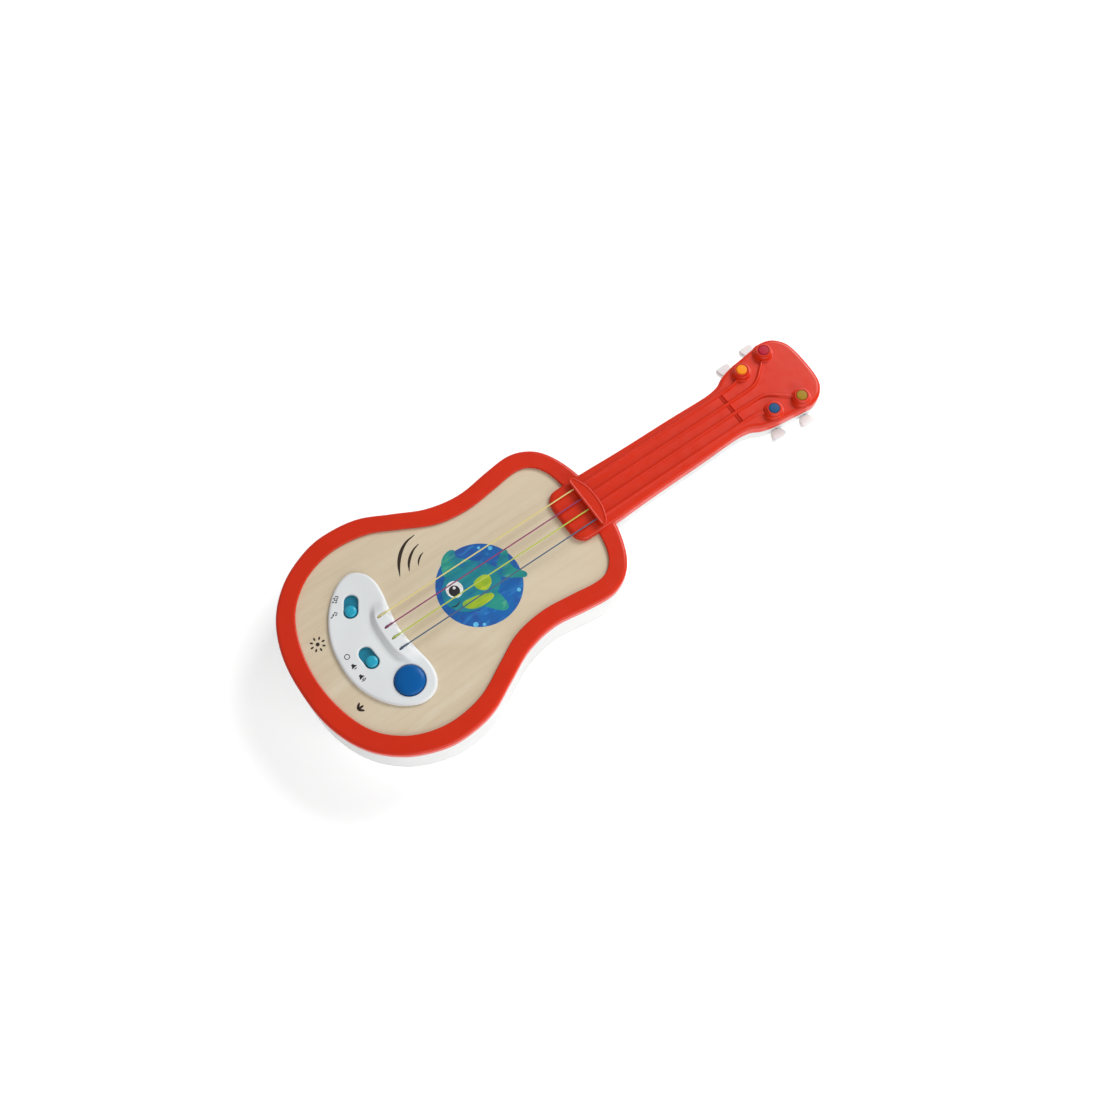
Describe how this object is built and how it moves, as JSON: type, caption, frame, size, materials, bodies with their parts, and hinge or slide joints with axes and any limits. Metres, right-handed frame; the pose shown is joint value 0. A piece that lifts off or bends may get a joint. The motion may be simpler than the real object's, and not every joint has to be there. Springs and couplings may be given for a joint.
{
  "type": "toy electric guitar",
  "caption": "Small battery guitar for babies: moulded shells, wooden face, coloured touch strings, sliding switches, push button, turning pegs and a back battery door.",
  "frame": {"origin": "middle of the resting face of the back, half way between the tail and the top of the head", "axes": "+Y up the neck from tail to head, +Z out of the face, +X to the right of someone who looks at the face with the head up"},
  "size_m": [0.165, 0.406, 0.0465],
  "materials": {
    "red_plastic": "smooth moulded plastic, satin gloss",
    "white_plastic": "smooth moulded plastic, satin",
    "wood": "pale birch plywood, matt lacquer",
    "teal_plastic": "moulded plastic, satin gloss",
    "blue_plastic": "moulded plastic, satin gloss",
    "crimson_plastic": "moulded plastic",
    "olive_plastic": "moulded plastic",
    "orange_plastic": "moulded plastic",
    "slate_plastic": "moulded plastic",
    "yellow_cord": "coloured elastic cord",
    "purple_cord": "coloured elastic cord",
    "green_cord": "coloured elastic cord",
    "blue_cord": "coloured elastic cord",
    "steel": "plated steel",
    "circuit_board": "solder-masked laminate",
    "black_plastic": "moulded plastic or resin",
    "magnet": "sintered ferrite",
    "sensor_film": "flexible film",
    "speaker_paper": "coated paper",
    "battery_sleeve": "printed sleeve over a metal can",
    "red_wire": "insulated wire",
    "black_wire": "insulated wire"
  },
  "bodies": {
    "guitar_body": {"front_shell": "red_plastic", "string_guard": "red_plastic", "back_shell": "white_plastic", "control_panel": "white_plastic", "wood_face": "wood", "string_1": "yellow_cord", "string_2": "purple_cord", "string_3": "green_cord", "string_4": "blue_cord", "cap_1": "crimson_plastic", "cap_2": "olive_plastic", "cap_3": "orange_plastic", "cap_4": "slate_plastic", "mode_switch": "steel", "volume_switch": "steel", "button_spring": "steel", "housing_screw_1": "steel", "housing_screw_2": "steel", "housing_screw_3": "steel", "housing_screw_4": "steel", "housing_screw_5": "steel", "housing_screw_6": "steel", "housing_screw_7": "steel", "housing_screw_8": "steel", "housing_screw_9": "steel", "housing_screw_10": "steel", "board_screw_1": "steel", "board_screw_2": "steel", "board_screw_3": "steel", "speaker_frame": "steel", "contact_positive": "steel", "contact_link_left": "steel", "contact_link_right": "steel", "contact_negative": "steel", "button_switch": "black_plastic", "sound_chip": "black_plastic", "capacitor": "black_plastic", "speaker_magnet": "magnet", "main_board": "circuit_board", "sensor_sheet": "sensor_film", "sensor_ribbon": "sensor_film", "speaker_cone": "speaker_paper", "battery_1": "battery_sleeve", "battery_2": "battery_sleeve", "battery_3": "battery_sleeve", "speaker_wire_1": "red_wire", "battery_wire_1": "red_wire", "speaker_wire_2": "black_wire", "battery_wire_2": "black_wire"},
    "mode_slider": {"mode_slider": "teal_plastic", "mode_switch_lever": "black_plastic"},
    "volume_slider": {"volume_slider": "teal_plastic", "volume_switch_lever": "black_plastic"},
    "song_button": {"song_button": "blue_plastic"},
    "battery_door": {"battery_door": "white_plastic", "battery_door_screw": "steel"},
    "tuning_peg_1": {"tuning_peg_1": "white_plastic"},
    "tuning_peg_2": {"tuning_peg_2": "white_plastic"},
    "tuning_peg_3": {"tuning_peg_3": "white_plastic"},
    "tuning_peg_4": {"tuning_peg_4": "white_plastic"}
  },
  "joints": [
    {"name": "mode_slide", "type": "slide", "parent": "guitar_body", "child": "mode_slider", "axis": [-0.8387, 0.5446, 0], "range_m": [0, 0.0068]},
    {"name": "volume_slide", "type": "slide", "parent": "guitar_body", "child": "volume_slider", "axis": [-0.9976, -0.0698, 0], "range_m": [0, 0.0068]},
    {"name": "button_press", "type": "slide", "parent": "guitar_body", "child": "song_button", "axis": [0, 0, -1], "range_m": [0, 0.0018], "stiffness_N_per_m": 400, "deforming": ["button_spring"]},
    {"name": "door_lift", "type": "slide", "parent": "guitar_body", "child": "battery_door", "axis": [0, 0, -1], "range_m": [0, 0.025]},
    {"name": "peg_turn_1", "type": "hinge", "parent": "guitar_body", "child": "tuning_peg_1", "pos_m": [-0.0279, 0.18, 0.028], "axis": [-1, 0, 0], "continuous": true},
    {"name": "peg_turn_2", "type": "hinge", "parent": "guitar_body", "child": "tuning_peg_2", "pos_m": [0.0279, 0.18, 0.028], "axis": [1, 0, 0], "continuous": true},
    {"name": "peg_turn_3", "type": "hinge", "parent": "guitar_body", "child": "tuning_peg_3", "pos_m": [-0.025, 0.1578, 0.028], "axis": [-1, 0, 0], "continuous": true},
    {"name": "peg_turn_4", "type": "hinge", "parent": "guitar_body", "child": "tuning_peg_4", "pos_m": [0.025, 0.1578, 0.028], "axis": [1, 0, 0], "continuous": true}
  ]
}
